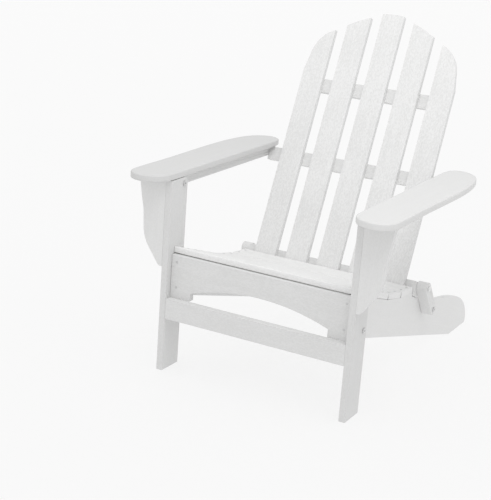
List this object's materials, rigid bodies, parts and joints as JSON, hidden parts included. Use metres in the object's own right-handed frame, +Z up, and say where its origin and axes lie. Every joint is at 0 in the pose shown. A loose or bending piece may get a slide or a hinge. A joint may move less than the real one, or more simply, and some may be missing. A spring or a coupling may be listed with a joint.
{
  "type": "adirondack chair",
  "caption": "Folding outdoor lounge chair of flat white boards: sloping slatted seat, reclined slatted back with a rounded crown, wide paddle arms, arched front apron and long rear runners.",
  "frame": {"origin": "centre of the chair's footprint box, at floor level, with the chair unfolded for sitting", "axes": "+Z up; the sitter faces -Y, so the back leans towards +Y; +X is towards the sitter's left hand"},
  "size_m": [0.746, 0.972, 0.9164],
  "materials": {
    "white_lumber": "satin, faint embossed grain",
    "stainless_steel": "satin"
  },
  "bodies": {
    "seat_frame": {"stringer_left": "white_lumber", "stringer_right": "white_lumber", "seat_slat_1": "white_lumber", "seat_slat_2": "white_lumber", "seat_slat_3": "white_lumber", "seat_slat_4": "white_lumber", "seat_slat_5": "white_lumber", "front_apron": "white_lumber", "leg_pivot_bolt_left": "stainless_steel", "leg_pivot_bolt_right": "stainless_steel", "leg_pivot_nut_left": "stainless_steel", "leg_pivot_nut_right": "stainless_steel", "block_low_bolt_left": "stainless_steel", "block_low_bolt_right": "stainless_steel", "block_low_nut_left": "stainless_steel", "block_low_nut_right": "stainless_steel"},
    "front_legs": {"front_leg_left": "white_lumber", "front_leg_right": "white_lumber", "arm_bracket_left": "white_lumber", "arm_bracket_right": "white_lumber", "stretcher": "white_lumber", "arm_front_bolt_left": "stainless_steel", "arm_front_bolt_right": "stainless_steel", "arm_front_nut_left": "stainless_steel", "arm_front_nut_right": "stainless_steel"},
    "left_arm_body": {"arm_left": "white_lumber", "under_arm_rail_left": "white_lumber", "arm_rear_bolt_left": "stainless_steel"},
    "right_arm_body": {"arm_right": "white_lumber", "under_arm_rail_right": "white_lumber", "arm_rear_bolt_right": "stainless_steel"},
    "left_block_body": {"hinge_block_left": "white_lumber"},
    "right_block_body": {"hinge_block_right": "white_lumber"},
    "back": {"back_slat_1": "white_lumber", "back_slat_2": "white_lumber", "back_slat_3": "white_lumber", "back_slat_4": "white_lumber", "back_slat_5": "white_lumber", "base_cross_rail": "white_lumber", "arm_cross_rail": "white_lumber", "top_cross_rail": "white_lumber", "block_top_bolt_left": "stainless_steel", "block_top_bolt_right": "stainless_steel", "rail_barrel_nut_left": "stainless_steel", "rail_barrel_nut_right": "stainless_steel"}
  },
  "joints": [
    {"name": "leg_fold", "type": "hinge", "parent": "seat_frame", "child": "front_legs", "pos_m": [0, -0.364, 0.226], "axis": [1, 0, 0], "range_deg": [0, 76.31]},
    {"name": "left_block_swing", "type": "hinge", "parent": "seat_frame", "child": "left_block_body", "pos_m": [0.2726, 0.099, 0.154], "axis": [1, 0, 0], "range_deg": [-19.02, 0]},
    {"name": "right_block_swing", "type": "hinge", "parent": "seat_frame", "child": "right_block_body", "pos_m": [-0.2726, 0.099, 0.154], "axis": [1, 0, 0], "range_deg": [-19.02, 0]},
    {"name": "back_fold", "type": "hinge", "parent": "left_block_body", "child": "back", "pos_m": [0.2726, 0.041, 0.23], "axis": [1, 0, 0], "range_deg": [0, 91.02]},
    {"name": "left_arm_fold", "type": "hinge", "parent": "front_legs", "child": "left_arm_body", "pos_m": [0.2843, -0.363, 0.5], "axis": [1, 0, 0], "range_deg": [-60.23, 0]},
    {"name": "right_arm_fold", "type": "hinge", "parent": "front_legs", "child": "right_arm_body", "pos_m": [-0.2843, -0.363, 0.5], "axis": [1, 0, 0], "range_deg": [-60.23, 0]}
  ],
  "couplings": [
    {"joint": "left_block_swing", "follows": "leg_fold", "ratio": -0.24925},
    {"joint": "right_block_swing", "follows": "leg_fold", "ratio": -0.24925},
    {"joint": "back_fold", "follows": "leg_fold", "ratio": 1.1928},
    {"joint": "left_arm_fold", "follows": "leg_fold", "ratio": -0.78928},
    {"joint": "right_arm_fold", "follows": "leg_fold", "ratio": -0.78928}
  ]
}
